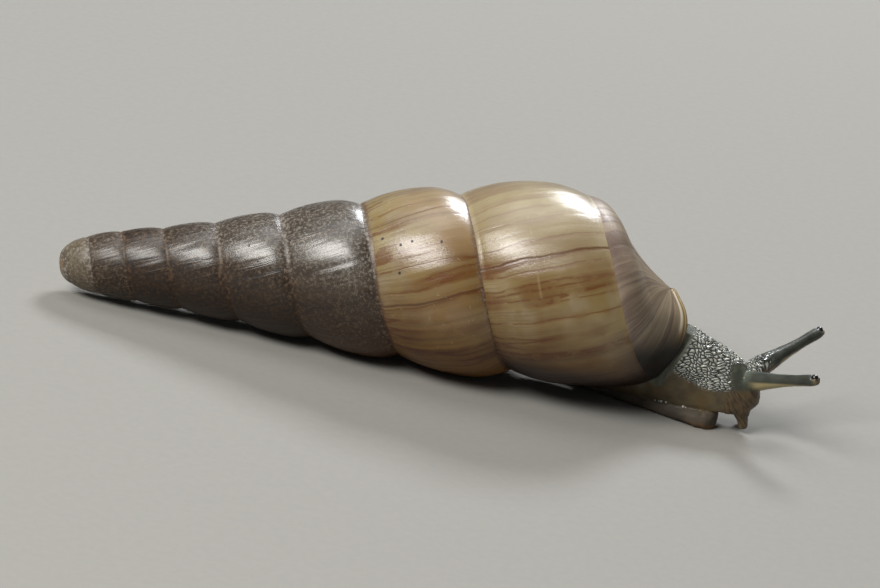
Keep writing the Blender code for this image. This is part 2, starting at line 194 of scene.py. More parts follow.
def new_tree(name, inputs, outputs):
    """A Geometry Nodes tree with named inputs. Returns it, its inputs node and its output node."""
    tree = bpy.data.node_groups.new(name, "GeometryNodeTree")
    for socket, (kind, value) in inputs.items():
        item = tree.interface.new_socket(socket, in_out="INPUT", socket_type=kind)
        if value is not None:
            item.default_value = value
    for socket, kind in outputs.items():
        tree.interface.new_socket(socket, in_out="OUTPUT", socket_type=kind)
    return tree, tree.nodes.new("NodeGroupInput"), tree.nodes.new("NodeGroupOutput")


def lift(tree, shape, height):
    """Raises the surface of a shape along its normals."""
    outward = add_node(tree, "ShaderNodeVectorMath",
                       {"Vector": add_node(tree, "GeometryNodeInputNormal"), "Scale": height},
                       "SCALE")
    return add_node(tree, "GeometryNodeSetPosition", {"Geometry": shape, "Offset": outward})


def rest_and_finish(tree, shape, given, result):
    """Presses small flats where a shape meets the floor, and ends its tree."""
    spot = add_node(tree, "ShaderNodeSeparateXYZ", (add_node(tree, "GeometryNodeInputPosition"),))
    level = add_node(tree, MATH, (spot.outputs["Z"], 0.0), "MAXIMUM")
    flat = add_node(tree, "ShaderNodeCombineXYZ", (spot.outputs["X"], spot.outputs["Y"], level))
    resting = add_node(tree, "GeometryNodeSetPosition", {"Geometry": shape, "Position": flat})
    smooth = add_node(tree, "GeometryNodeSetShadeSmooth", {"Geometry": resting})
    real = add_node(tree, "GeometryNodeRealizeInstances", (smooth,))
    finished = add_node(tree, "GeometryNodeSetMaterial",
                        {"Geometry": real, "Material": given.outputs["Material"]})
    tree.links.new(finished.outputs[0], result.inputs["Geometry"])


# Node group: the whorl's outline at a turn, as a distance along the axis and a radius.
whorl, given, result = new_tree("whorl_outline", {
    "Turn": (FLOAT, 0.0), "Across": (FLOAT, 0.0), "Whorl growth": (FLOAT, WHORL_GROWTH),
    "First suture": (FLOAT, FIRST_SUTURE), "First pitch": (FLOAT, FIRST_PITCH),
    "Tip radius": (FLOAT, 2.112), "Tip length": (FLOAT, 6.12), "Tip roundness": (FLOAT, 2.683),
    "Body radius": (FLOAT, 6.681), "Flare length": (FLOAT, 33.2), "Flare ease": (FLOAT, 0.941),
    "Suture depth": (FLOAT, 0.12), "Suture power": (FLOAT, 2.6), "Suture ramp": (FLOAT, 25.0),
    "Suture ease": (FLOAT, 0.53), "Belly": (FLOAT, 1.08), "Ledge": (FLOAT, 0.05),
    "Ledge width": (FLOAT, 0.035),
}, {"Along": FLOAT, "Radius": FLOAT, "Height": FLOAT})
size = given.outputs
# Each whorl is wider than the one before by the same ratio, so the sutures' places along
# the axis grow as a power of the turn.
ratio = add_node(whorl, MATH, (size["Whorl growth"], 1.0), "SUBTRACT")
slope = add_node(whorl, MATH, (size["First pitch"], ratio), "DIVIDE")
start = add_node(whorl, MATH, (size["First suture"], slope), "SUBTRACT")
edges = []
for turns_back in (1.0, 0.0):
    turn = add_node(whorl, MATH, (size["Turn"], turns_back), "SUBTRACT")
    grown = add_node(whorl, MATH, (size["Whorl growth"], turn), "POWER")
    edge = add_node(whorl, MATH, (grown, slope, start), "MULTIPLY_ADD")
    edges.append(add_node(whorl, MATH, (edge, 0.0), "MAXIMUM"))
upper, lower = edges
height = add_node(whorl, MATH, (lower, upper), "SUBTRACT")
along = add_node(whorl, MATH, (height, size["Across"], upper), "MULTIPLY_ADD")

# The spire's outline has a blunt tip and then eases out to the last whorl's width.
tip = add_node(whorl, MATH, (along, size["Tip length"]), "DIVIDE", use_clamp=True)
tip = add_node(whorl, MATH, (1.0, tip), "SUBTRACT")
tip = add_node(whorl, MATH, (tip, size["Tip roundness"]), "POWER")
tip = add_node(whorl, MATH, (1.0, tip), "SUBTRACT")
root = add_node(whorl, MATH, (1.0, size["Tip roundness"]), "DIVIDE")
tip = add_node(whorl, MATH, (tip, root), "POWER")
flare = add_node(whorl, MATH, (along, size["Flare length"]), "DIVIDE", use_clamp=True)
flare = add_node(whorl, MATH, (flare, size["Flare ease"]), "POWER")
flare = add_node(whorl, MATH, (flare, math.pi), "MULTIPLY")
flare = add_node(whorl, MATH, (flare,), "COSINE")
flare = add_node(whorl, MATH, (flare, -0.5, 0.5), "MULTIPLY_ADD")
widening = add_node(whorl, MATH, (size["Body radius"], size["Tip radius"]), "SUBTRACT")
flare = add_node(whorl, MATH, (flare, widening), "MULTIPLY")
outline = add_node(whorl, MATH, (tip, size["Tip radius"], flare), "MULTIPLY_ADD")

# A whorl bulges between its two sutures, which are deeper the further they are from the tip.
pinch = add_node(whorl, MATH, (size["Across"], size["Belly"]), "POWER")
pinch = add_node(whorl, MATH, (pinch, 2.0, -1.0), "MULTIPLY_ADD")
pinch = add_node(whorl, MATH, (pinch,), "ABSOLUTE")
pinch = add_node(whorl, MATH, (pinch, size["Suture power"]), "POWER")
ramp = add_node(whorl, MATH, (along, size["Suture ramp"]), "DIVIDE", use_clamp=True)
ramp = add_node(whorl, MATH, (ramp, size["Suture ease"]), "POWER")
pinch = add_node(whorl, MATH, (pinch, ramp), "MULTIPLY")
pinch = add_node(whorl, MATH, (pinch, size["Suture depth"]), "MULTIPLY")
waist = add_node(whorl, MATH, (1.0, pinch), "SUBTRACT")
# Each whorl is laid over the edge of the one before, so it begins with a small ledge.
ledge = add_node(whorl, RANGE, {"Value": size["Across"], "From Max": size["Ledge width"]},
                 interpolation_type="SMOOTHSTEP")
fade = add_node(whorl, MATH, (1.0, size["Across"]), "SUBTRACT")
ledge = add_node(whorl, MATH, (ledge, fade), "MULTIPLY")
ledge = add_node(whorl, MATH, (ledge, ramp), "MULTIPLY")
ledge = add_node(whorl, MATH, (ledge, size["Ledge"]), "MULTIPLY")
radius = add_node(whorl, MATH, (outline, waist, ledge), "MULTIPLY_ADD")
whorl.links.new(along.outputs[0], result.inputs["Along"])
whorl.links.new(radius.outputs[0], result.inputs["Radius"])
whorl.links.new(height.outputs[0], result.inputs["Height"])

# The shell's own tree: the wound band, the base below it, the growth relief and the mouth.
# Band and base each start as a flat grid, as long as their turns and one whorl across.
shell_inputs = {
    "Turns": (FLOAT, TURNS), "Columns": (INT, round(TURNS * COLUMNS_PER_TURN) + 1),
    "Band rows": (INT, BAND_ROWS + 1), "Base columns": (INT, COLUMNS_PER_TURN - LEAN_COLUMNS + 1),
    "Base rows": (INT, BASE_ROWS + 1), "Lean": (FLOAT, LEAN), "Base lean": (FLOAT, BASE_LEAN),
    "Columella": (FLOAT, 40.6), "Lip swell": (FLOAT, 2.25), "Lip power": (FLOAT, 3.7),
    "Swell skew": (FLOAT, 1.8), "Shoulder": (FLOAT, 0.85), "Hollow": (FLOAT, 0.35),
    "Shoulder end": (FLOAT, 0.6), "Shoulder rise": (FLOAT, 0.3), "Shoulder fade": (FLOAT, 0.88),
    "Shoulder ease": (FLOAT, 4.0),
    "Lip thickness": (FLOAT, 0.42), "Mouth depth": (FLOAT, 0.05),
    "Lip flare": (FLOAT, 0.26), "Flare start": (FLOAT, LAST_TURN - 0.042),
    "Flare power": (FLOAT, 1.6), "Wrinkle": (FLOAT, 0.12), "Striae": (FLOAT, 0.04),
    "Waver": (FLOAT, 0.22), "Waver pace": (FLOAT, 0.35), "Weld": (FLOAT, 0.0005),
    "Material": ("NodeSocketMaterial", None),
}
tree, given, result = new_tree("wound_shell", shell_inputs, {"Geometry": GEOMETRY})
size = given.outputs
position = add_node(tree, "GeometryNodeInputPosition")
surfaces = []
for is_base in (False, True):
    span = 1.0 - LEAN if is_base else size["Turns"]
    grid = add_node(tree, "GeometryNodeMeshGrid", {
        "Size X": span, "Size Y": 1.0,
        "Vertices X": size["Base columns" if is_base else "Columns"],
        "Vertices Y": size["Base rows" if is_base else "Band rows"]})
    spot = add_node(tree, "ShaderNodeSeparateXYZ", (position,))
    middle = LAST_TURN - (1.0 - LEAN) / 2.0 if is_base else FIRST_TURN + TURNS / 2.0
    growth = add_node(tree, MATH, (spot.outputs["X"], middle), "ADD")
    across = add_node(tree, MATH, (spot.outputs["Y"], 0.5), "ADD")
    if is_base:
        lag = add_node(tree, MATH, (across, size["Base lean"], size["Lean"]), "MULTIPLY_ADD")
    else:
        lag = add_node(tree, MATH, (across, size["Lean"]), "MULTIPLY")
    turn = add_node(tree, MATH, (growth, lag), "SUBTRACT")
    outline = add_node(tree, "GeometryNodeGroup", node_tree=whorl)
    tree.links.new(turn.outputs[0], outline.inputs["Turn"])
    along, radius = outline.outputs["Along"], outline.outputs["Radius"]
    if is_base:
        outline.inputs["Across"].default_value = 1.0
        quarter = add_node(tree, MATH, (across, math.pi / 2.0), "MULTIPLY")
        share = add_node(tree, MATH, (quarter,), "COSINE")
        late = add_node(tree, MATH, (turn, 1.0 - LAST_TURN), "ADD", use_clamp=True)
        swell = add_node(tree, MATH, (late, size["Lip power"]), "POWER")
        swell = add_node(tree, MATH, (swell, size["Lip swell"]), "MULTIPLY")
        crown = add_node(tree, MATH, (across, size["Swell skew"]), "POWER")
        crown = add_node(tree, MATH, (crown, math.pi), "MULTIPLY")
        crown = add_node(tree, MATH, (crown,), "SINE")
        crown = add_node(tree, MATH, (crown, swell), "MULTIPLY")
        # Away from the lip the base is full below its edge, and hollow nearer the axis.
        present = add_node(tree, MATH, (late, size["Shoulder fade"]), "DIVIDE", use_clamp=True)
        present = add_node(tree, MATH, (present, size["Shoulder ease"]), "POWER")
        present = add_node(tree, MATH, (1.0, present), "SUBTRACT")
        rising = add_node(tree, MATH, (late, size["Shoulder rise"]), "DIVIDE", use_clamp=True)
        present = add_node(tree, MATH, (present, rising), "MULTIPLY")
        for low, high, amount, sign in ((0.0, size["Shoulder end"], size["Shoulder"], 1.0),
                                        (size["Shoulder end"], 1.0, size["Hollow"], -1.0)):
            wave = add_node(tree, RANGE, {"Value": across, "From Min": low, "From Max": high,
                                          "To Max": math.pi})
            wave = add_node(tree, MATH, (wave,), "SINE")
            wave = add_node(tree, MATH, (wave, amount), "MULTIPLY")
            wave = add_node(tree, MATH, (wave, sign), "MULTIPLY")
            crown = add_node(tree, MATH, (wave, present, crown), "MULTIPLY_ADD")
        drop = add_node(tree, MATH, (size["Columella"], along), "SUBTRACT")
        inward = add_node(tree, MATH, (1.0, share), "SUBTRACT")
        drop = add_node(tree, MATH, (drop, inward, crown), "MULTIPLY_ADD")
        along = add_node(tree, MATH, (along, drop), "ADD")
        radius = add_node(tree, MATH, (radius, share), "MULTIPLY")
    else:
        tree.links.new(across.outputs[0], outline.inputs["Across"])
    angle = add_node(tree, MATH, (turn, -2.0 * math.pi, math.radians(FACING)), "MULTIPLY_ADD")
    side = add_node(tree, MATH, (add_node(tree, MATH, (angle,), "COSINE"), radius), "MULTIPLY")
    side = add_node(tree, MATH, (side, -1.0), "MULTIPLY")
    rise = add_node(tree, MATH, (add_node(tree, MATH, (angle,), "SINE"), radius), "MULTIPLY")
    point = add_node(tree, "ShaderNodeCombineXYZ", (along, side, rise))
    # Growth and distance marks go on the face corners, which stay apart where whorls meet.
    shape = grid
    marks = {"growth": growth, "across": add_node(tree, MATH, (across, float(is_base)), "ADD"),
             "whorl_height": outline.outputs["Height"]}
    for name, value in marks.items():
        shape = add_node(tree, "GeometryNodeStoreNamedAttribute",
                         {"Geometry": shape, "Name": name, "Value": value},
                         data_type="FLOAT", domain="CORNER")
    placed = add_node(tree, "GeometryNodeSetPosition", {"Geometry": shape, "Position": point})
    # Growth relief: long wrinkles and fine striae along the growth lines, none at a seam.
    growth, across = (add_node(tree, "GeometryNodeInputNamedAttribute", {"Name": name},
                               data_type="FLOAT").outputs["Attribute"]
                      for name in ("growth", "across"))
    fade = add_node(tree, MATH, (across, float(is_base)), "SUBTRACT")
    fade = add_node(tree, MATH, (fade, math.pi / (2.0 if is_base else 1.0)), "MULTIPLY")
    fade = add_node(tree, MATH, (fade,), "SINE", use_clamp=True)
    relief = 0.0
    for kind, lines_per_turn in GROWTH_WRINKLES.items():
        where = add_node(tree, MATH, (growth, lines_per_turn), "MULTIPLY")
        lines = add_node(tree, "ShaderNodeTexNoise", {"W": where, "Detail": 2.0},
                         noise_dimensions="1D")
        lines = add_node(tree, MATH, (lines, 0.5), "SUBTRACT")
        relief = add_node(tree, MATH, (lines, size[kind], relief), "MULTIPLY_ADD")
    off_axis = add_node(tree, "ShaderNodeVectorMath", (position, (0.0, 1.0, 1.0)), "MULTIPLY")
    off_axis = add_node(tree, "ShaderNodeVectorMath", (off_axis,), "LENGTH").outputs["Value"]
    narrow = add_node(tree, MATH, (off_axis, FULL_RADIUS), "DIVIDE", use_clamp=True)
    relief = add_node(tree, MATH, (relief, fade), "MULTIPLY")
    relief = add_node(tree, MATH, (relief, narrow), "MULTIPLY")
    surfaces.append(lift(tree, placed, relief))

joined = add_node(tree, "GeometryNodeJoinGeometry")
for surface in surfaces:
    tree.links.new(surface.outputs[0], joined.inputs[0])
merged = add_node(tree, "GeometryNodeMergeByDistance",
                  {"Geometry": joined, "Distance": size["Weld"]})
# A slow waver makes the sutures run a little unevenly, as an animal lays them.
waver = add_node(tree, "ShaderNodeTexNoise", {"Vector": position, "Scale": size["Waver pace"]})
waver = add_node(tree, MATH, (waver, 0.5), "SUBTRACT")
waver = add_node(tree, MATH, (waver, size["Waver"]), "MULTIPLY")
shape = add_node(tree, "GeometryNodeSetPosition", {
    "Geometry": merged, "Offset": add_node(tree, "ShaderNodeCombineXYZ", {"X": waver})})
# The lip turns outward over its last millimetre.
growth = add_node(tree, "GeometryNodeInputNamedAttribute", {"Name": "growth"}, data_type="FLOAT")
flare = add_node(tree, RANGE, {"Value": growth, "From Min": size["Flare start"],
                               "From Max": LAST_TURN})
flare = add_node(tree, MATH, (flare, size["Flare power"]), "POWER")
flare = add_node(tree, MATH, (flare, size["Lip flare"]), "MULTIPLY")
shape = lift(tree, shape, flare)

# The lip turns in over its thickness, and the wall runs back into the mouth.
rim = add_node(tree, "FunctionNodeCompare",
               {2: add_node(tree, "GeometryNodeInputMeshEdgeNeighbors"), 3: 1},
               data_type="INT", operation="EQUAL")
statistic = add_node(tree, "GeometryNodeAttributeStatistic", {
    "Geometry": shape, "Selection": rim, "Attribute": position}, data_type="FLOAT_VECTOR",
    domain="EDGE")
middle = [s for s in statistic.outputs if s.name == "Mean" and s.enabled][0]
chosen = rim
# Each step inward is a share of the lip's thickness and of the mouth's depth.
MOUTH_STEPS = ((0.15, -0.04), (0.25, -0.02), (0.3, 0.02), (0.2, 0.06), (0.1, 0.38), (0.1, 0.6))
for inward, back in MOUTH_STEPS:
    toward = add_node(tree, "ShaderNodeVectorMath", (middle, position), "SUBTRACT")
    toward = add_node(tree, "ShaderNodeVectorMath", (toward,), "NORMALIZE")
    length = add_node(tree, MATH, (size["Lip thickness"], inward), "MULTIPLY")
    step = add_node(tree, "ShaderNodeVectorMath", {"Vector": toward, "Scale": length}, "SCALE")
    if back:
        depth = add_node(tree, MATH, (size["Mouth depth"], 2.0 * math.pi * back), "MULTIPLY")
        turned = add_node(tree, "ShaderNodeVectorRotate", {"Vector": position, "Angle": depth},
                          rotation_type="X_AXIS")
        retreat = add_node(tree, "ShaderNodeVectorMath", (turned, position), "SUBTRACT")
        step = add_node(tree, "ShaderNodeVectorMath", (step, retreat), "ADD")
    grown = add_node(tree, "GeometryNodeExtrudeMesh",
                     {"Mesh": shape, "Selection": chosen, "Offset": step}, mode="EDGES")
    shape, chosen = grown.outputs["Mesh"], grown.outputs["Top"]
toward = add_node(tree, "ShaderNodeVectorMath", (middle, position), "SUBTRACT")
closed = add_node(tree, "GeometryNodeExtrudeMesh",
                  {"Mesh": shape, "Selection": chosen, "Offset": toward}, mode="EDGES")
inside = add_node(tree, "GeometryNodeStoreNamedAttribute", {
    "Geometry": closed.outputs["Mesh"], "Selection": closed.outputs["Side"],
    "Name": "throat", "Value": 1.0}, data_type="FLOAT", domain="FACE")
met = add_node(tree, "GeometryNodeSetPosition", {
    "Geometry": inside, "Selection": closed.outputs["Top"], "Position": middle})
closed = add_node(tree, "GeometryNodeMergeByDistance", {"Geometry": met, "Distance": size["Weld"]})
placed = add_node(tree, "GeometryNodeTransform", {
    "Geometry": closed, "Translation": Vector(APEX) * MM,
    "Rotation": (0.0, math.radians(-AXIS_RISE), math.radians(AXIS_YAW)),
    "Scale": (MM, MM, MM)})
rest_and_finish(tree, placed, given, result)


def grow(name, tree, values, mesh=None):
    """Runs a Geometry Nodes tree on a new object and returns the plain mesh object."""
    source = add_object(name + "_source", mesh or bpy.data.meshes.new(name))
    modifier = source.modifiers.new("grow", "NODES")
    modifier.node_group = tree
    for socket, value in values.items():
        modifier[tree.interface.items_tree[socket].identifier] = value
    evaluated = source.evaluated_get(bpy.context.evaluated_depsgraph_get())
    made = bpy.data.meshes.new_from_object(evaluated)
    made.name = name
    bpy.data.objects.remove(source)
    return add_object(name, made)


def add_clouds(tree, value, clouds):
    """Adds clouds of tone in the object's own space, from (size in mm, detail, roughness)."""
    for name, (spacing, detail, roughness) in clouds.items():
        value[name] = add_node(tree, "ShaderNodeTexNoise", {
            "Vector": value["place"], "Scale": 1.0 / (spacing * MM), "Detail": detail,
            "Roughness": roughness})


def take_shares(tree, value, ranges):
    """Shares that each run from 0 at its first number to 1 at its second."""
    return {name: add_node(tree, RANGE, {"Value": value[source], "From Min": low,
                                         "From Max": high}, interpolation_type="SMOOTHSTEP")
            for name, (source, low, high) in ranges.items()}


def carve(tree, shader, depth, marks):
    """Fine relief, a depth in mm: each mark is what it follows and how far it stands out."""
    height = 0.0
    for source, amount in marks:
        height = add_node(tree, MATH, (source, amount, height), "MULTIPLY_ADD")
    bump = add_node(tree, "ShaderNodeBump", {"Strength": 0.8, "Distance": depth * MM,
                                             "Height": height})
    for socket in ("Normal", "Coat Normal"):
        tree.links.new(bump.outputs[0], shader.inputs[socket])


def lay_colors(tree, share, layers, color=None, blend="MIX"):
    """Lays colours from the bottom up: the shares that bound one, its strength, its colour."""
    for bounds, strength, paint in layers:
        cover = strength
        for name in bounds:
            cover = add_node(tree, MATH, (share[name], cover), "MULTIPLY")
        under = color.outputs[2] if color else linear(paint)
        color = add_node(tree, MIX, {"Factor": cover, 6: under, 7: linear(paint)},
                         data_type="RGBA", blend_type=blend)
    return color


# Horny periostracum over lime: a thin, glossy brown film on a chalky wall. It gives the
# eye a soft varnished shine, brown streaks where growth paused, and a worn, dusty spire.
horn, look, shader = new_material("periostracum_over_shell_lime", {
    "Coat Roughness": 0.25, "Specular IOR Level": 0.45, "IOR": 1.5})
value = {name: add_node(look, "ShaderNodeAttribute", attribute_name=name).outputs["Fac"]
         for name in ("growth", "across", "whorl_height", "throat")}
value["place"] = add_node(look, "ShaderNodeTexCoord").outputs["Object"]
value["height"] = add_node(look, "ShaderNodeSeparateXYZ", (value["place"],)).outputs["Z"]
add_clouds(look, value, {
    "sway": (2.2, 4.0, 0.5), "patches": (3.2, 2.0, 0.5), "mottle": (1.4, 4.0, 0.5),
    "breaks": (0.8, 2.0, 0.5), "clumps": (1.3, 2.0, 0.5), "wisps": (0.5, 2.0, 0.5),
    "grit": (0.22, 3.0, 0.5), "dust": (0.22, 6.0, 0.75)})

# Growth lines sway by about a hundredth of a turn. Each kind of streak is
# (streaks in a turn, breaks across a whorl, detail), from broad zones to fine striae, which
# are drawn no finer than they can show.
SWAY = 0.012
STREAKS = {"zones": (9.0, 0.4, 2.0), "bands": (26.0, 0.4, 2.0), "lines": (24.0, 0.22, 2.0),
           "streaks": (110.0, 0.7, 3.0), "striae": (300.0, 1.0, 2.0)}
sway = add_node(look, MATH, (value["sway"], 0.5), "SUBTRACT")
value["turn"] = add_node(look, MATH, (sway, SWAY, value["growth"]), "MULTIPLY_ADD")
for name, (per_turn, breaks, detail) in STREAKS.items():
    lengthwise = add_node(look, MATH, (value["turn"], per_turn), "MULTIPLY")
    crosswise = add_node(look, MATH, (value["across"], breaks), "MULTIPLY")
    where = add_node(look, "ShaderNodeCombineXYZ", (lengthwise, crosswise, 0.0))
    value[name] = add_node(look, "ShaderNodeTexNoise",
                           {"Vector": where, "Scale": 1.0, "Detail": detail})
lines = add_node(look, MATH, (value["lines"], 0.5), "SUBTRACT")
value["lines"] = add_node(look, MATH, (lines,), "ABSOLUTE")

# Growth rests: (turn, strength), each a thin dark line where the lip stood for a season.
REST_WIDTH = 0.0036          # turns on each side of it
GROWTH_RESTS = ((3.42, 0.5), (4.31, 0.6), (4.93, 0.4), (5.47, 0.7), (5.90, 0.6), (6.066, 1.0),
                (6.33, 0.6), (6.62, 0.7), (6.985, 1.0), (7.21, 0.4))
value["rests"] = 0.0
for rest_turn, strength in GROWTH_RESTS:
    away = add_node(look, MATH, (value["turn"], rest_turn), "SUBTRACT")
    away = add_node(look, MATH, (away,), "ABSOLUTE")
    line = add_node(look, RANGE, {"Value": away, "From Max": REST_WIDTH, "To Min": strength,
                                  "To Max": 0.0}, interpolation_type="SMOOTHSTEP")
    value["rests"] = add_node(look, MATH, (line, value["rests"]), "MAXIMUM")

# Small dark pits, each at (turn, share across the whorl). With no relief, their darkness is
# painted shade in the hollows.
PIT_RADII = (0.12, 0.06)     # of a pit's soft edge and of its floor
MM_PER_TURN = 32.0           # round the last whorls
PITS = ((5.932, 0.125), (5.957, 0.288), (5.957, 0.400), (5.972, 0.675), (6.007, 0.238),
        (3.955, 0.450), (4.005, 0.550), (5.62, 0.5), (5.31, 0.3))
value["pits"] = 0.0
for pit_turn, pit_across in PITS:
    over = add_node(look, MATH, (value["across"], pit_across), "SUBTRACT")
    over = add_node(look, MATH, (over, value["whorl_height"]), "MULTIPLY")
    past = add_node(look, MATH, (value["growth"], pit_turn), "SUBTRACT")
    past = add_node(look, MATH, (past, MM_PER_TURN), "MULTIPLY")
    where = add_node(look, "ShaderNodeCombineXYZ", (over, past, 0.0))
    away = add_node(look, "ShaderNodeVectorMath", (where,), "LENGTH").outputs["Value"]
    pit = add_node(look, RANGE, {"Value": away, "From Min": PIT_RADII[0],
                                 "From Max": PIT_RADII[1]}, interpolation_type="SMOOTHSTEP")
    value["pits"] = add_node(look, MATH, (pit, value["pits"]), "MAXIMUM")

# Distances in mm from the seams, in shares of a whorl from the pale thread on the last
# whorl, and in turns from the lip.
THREAD_PLACE = 0.42
CRUMB_SPACING, FIBRE_SPACING = 0.2, 0.9
for name, middle in (("to_seam", 0.5), ("thread", THREAD_PLACE)):
    away = add_node(look, MATH, (value["across"], middle), "SUBTRACT")
    value[name] = add_node(look, MATH, (away,), "ABSOLUTE")
away = add_node(look, MATH, (0.5, value["to_seam"]), "SUBTRACT")
value["to_seam"] = add_node(look, MATH, (away, value["whorl_height"]), "MULTIPLY")
value["lip"] = add_node(look, MATH, (LAST_TURN, value["growth"]), "SUBTRACT")
ragged = add_node(look, MATH, (value["grit"], value["clumps"]), "MULTIPLY")
value["seam"] = add_node(look, MATH, (value["to_seam"], ragged), "DIVIDE")
for name, spacing, feature in (("crumbs", CRUMB_SPACING, "F1"),
                               ("fibres", FIBRE_SPACING, "DISTANCE_TO_EDGE")):
    cells = add_node(look, "ShaderNodeTexVoronoi", {
        "Vector": value["place"], "Scale": 1.0 / (spacing * MM)}, feature=feature)
    value[name] = cells.outputs["Distance"]

GROWTH_RELIEF = 0.022
share = take_shares(look, value, {
    "on_base": ("across", 0.999, 1.001), "on_band": ("across", 1.001, 0.999),
    "upper": ("across", 0.55, 0.05), "turning": ("turn", 5.62, 5.30),
    "young": ("turn", 5.06, 5.30), "spire": ("turn", 5.24, 5.06),
    "early": ("growth", 1.3, -0.3), "later": ("growth", -0.6, 2.2),
    "tip": ("growth", -0.8, -1.15),
    "old": ("turn", 5.55, 4.9), "aged": ("turn", 6.6, 6.2), "warm": ("turn", 6.35, 5.9),
    "newest": ("growth", 7.02, 7.22), "low": ("height", 8.5 * MM, 2.0 * MM),
    "lowest": ("height", 7.0 * MM, 4.8 * MM), "worn": ("patches", 0.42, 0.60),
    "kept": ("patches", 0.68, 0.36), "pale_zones": ("zones", 0.36, 0.64),
    "clouds": ("mottle", 0.42, 0.62), "bands": ("bands", 0.46, 0.66),
    "thin_lines": ("lines", 0.020, 0.002), "soft_lines": ("lines", 0.085, 0.01),
    "streaks": ("streaks", 0.50, 0.68), "striae": ("striae", 0.50, 0.66),
    "broken": ("breaks", 0.36, 0.50), "gaps": ("breaks", 0.50, 0.58),
    "thread": ("thread", 0.014, 0.004), "thread_start": ("growth", 6.85, 6.90),
    "thread_end": ("growth", 7.09, 7.03), "seam": ("seam", 1.25, 0.25),
    "beside_seam": ("to_seam", 0.7, 0.1), "dust": ("dust", 0.50, 0.60),
    "crumbs": ("crumbs", 0.20, 0.12), "crumbed": ("grit", 0.50, 0.60),
    "fibres": ("fibres", 0.022, 0.010), "strewn": ("wisps", 0.63, 0.66),
    "grime": ("dust", 0.46, 0.38), "beside_base": ("across", 0.80, 1.0),
    "bottom": ("height", 4.4 * MM, 2.4 * MM), "near_edge": ("across", 1.5, 1.05),
    "top_light": ("height", 9.0 * MM, 13.5 * MM), "lower_part": ("across", 0.15, 0.75),
    "before_lip": ("growth", LAST_TURN - 0.95, LAST_TURN - 1.03),
    "lip": ("lip", 0.030, 0.025),
    "lit_upper_lip": ("height", 5.8 * MM, 6.6 * MM), "strip": ("lip", 0.016, 0.019),
    "lip_line": ("lip", 0.0150, 0.0135), "past_line": ("lip", 0.0095, 0.0115),
})
share.update((name, value[name]) for name in ("rests", "pits", "throat"))
color = lay_colors(look, share, (
    # the last two whorls
    ((), 1.0, "#8b7548"),
    (("pale_zones",), 0.7, "#a19368"),
    (("clouds",), 0.40, "#7f6131"),
    (("worn", "clouds"), 0.40, "#aa9e83"),
    (("warm", "clouds"), 0.45, "#8f8268"),
    (("warm", "lower_part"), 0.30, "#84592b"),
    (("warm", "lower_part", "worn"), 0.35, "#8f5c22"),
    (("bands", "kept"), 0.60, "#6e4e22"),
    (("soft_lines", "kept"), 0.75, "#6b430d"),
    (("thin_lines", "broken"), 0.75, "#653404"),
    (("streaks", "broken"), 0.40, "#6b4a1e"),
    (("striae", "upper"), 0.40, "#5f3f1a"),
    # the darker, worn spire and its pale tip
    (("turning",), 1.0, "#5a4230"),
    (("spire",), 1.0, "#473d32"),
    (("spire", "pale_zones"), 0.6, "#5c5145"),
    (("spire", "bands"), 0.45, "#33281f"),
    (("spire", "streaks"), 0.6, "#271f18"),
    (("early",), 0.6, "#7d715c"),
    (("tip",), 0.6, "#a47440"),
    # a pale grey along the top, painted light, then the base
    (("top_light", "on_band"), 0.45, "#b7ab90"),
    (("on_base",), 1.0, "#a08d73"),
    (("on_base", "pale_zones"), 0.7, "#b9a98f"),
    (("on_base", "near_edge"), 0.5, "#8c7d76"),
    (("on_base", "soft_lines"), 0.35, "#604c49"),
    (("on_base", "near_edge", "bands"), 0.5, "#5a4a4e"),
    (("on_base", "bands"), 0.4, "#6c5643"),
    (("on_base", "streaks"), 0.5, "#6a554c"),
    (("on_base", "newest", "striae"), 0.5, "#c4b69c"),
    # growth rests, the pale thread and the seams
    (("rests", "on_band"), 0.85, "#552c05"),
    (("thread", "thread_start", "thread_end", "gaps"), 0.17, "#c9b88e"),
    (("seam", "before_lip", "on_band"), 0.75, "#4a2e22"),
    (("seam", "spire", "on_band"), 0.75, "#5b554d"),
    (("seam", "old", "on_band", "crumbed"), 0.7, "#8f8880"),
    # dust, dirt, crumbs, fibres and pits
    (("dust", "old"), 0.60, "#928d84"),
    (("grime", "old"), 0.45, "#1f1914"),
    (("dust", "beside_seam", "before_lip"), 0.35, "#9b9083"),
    (("crumbs", "old", "worn"), 0.7, "#b5afa6"),
    (("crumbs", "beside_seam", "crumbed", "before_lip"), 0.6, "#b3a999"),
    (("fibres", "strewn", "aged"), 0.5, "#b5a98f"),
    (("pits",), 0.95, "#1d130c"),
    # the lip, its cream strip only on the upper part with painted shade below, and the throat
    # behind it
    (("lip",), 0.95, "#a8946a"),
    (("lip", "strip", "lit_upper_lip"), 0.9, "#e2dbca"),
    (("lip_line", "past_line"), 0.8, "#6f4b20"),
    (("throat",), 0.9, "#5a4636"),
    (("throat", "clouds"), 0.5, "#46352a"),
))
# Painted shade: the underside darkens to a deeper brown towards the floor, darkest behind the lip.
color = lay_colors(look, share, (
    (("low", "on_band", "young"), 1.0, "#c09a5c"),
    (("low", "spire", "later"), 1.0, "#a28d75"),
    (("lowest", "spire", "later"), 1.0, "#d2b899"),
    (("low", "on_base"), 1.0, "#8a7052"),
    (("lowest", "on_base"), 1.0, "#35240f"),
    (("low", "newest", "beside_base", "on_band"), 1.0, "#7a5a2c"),
    (("bottom", "newest", "on_band"), 1.0, "#6a5038"),
), color, "MULTIPLY")
look.links.new(color.outputs[2], shader.inputs["Base Color"])

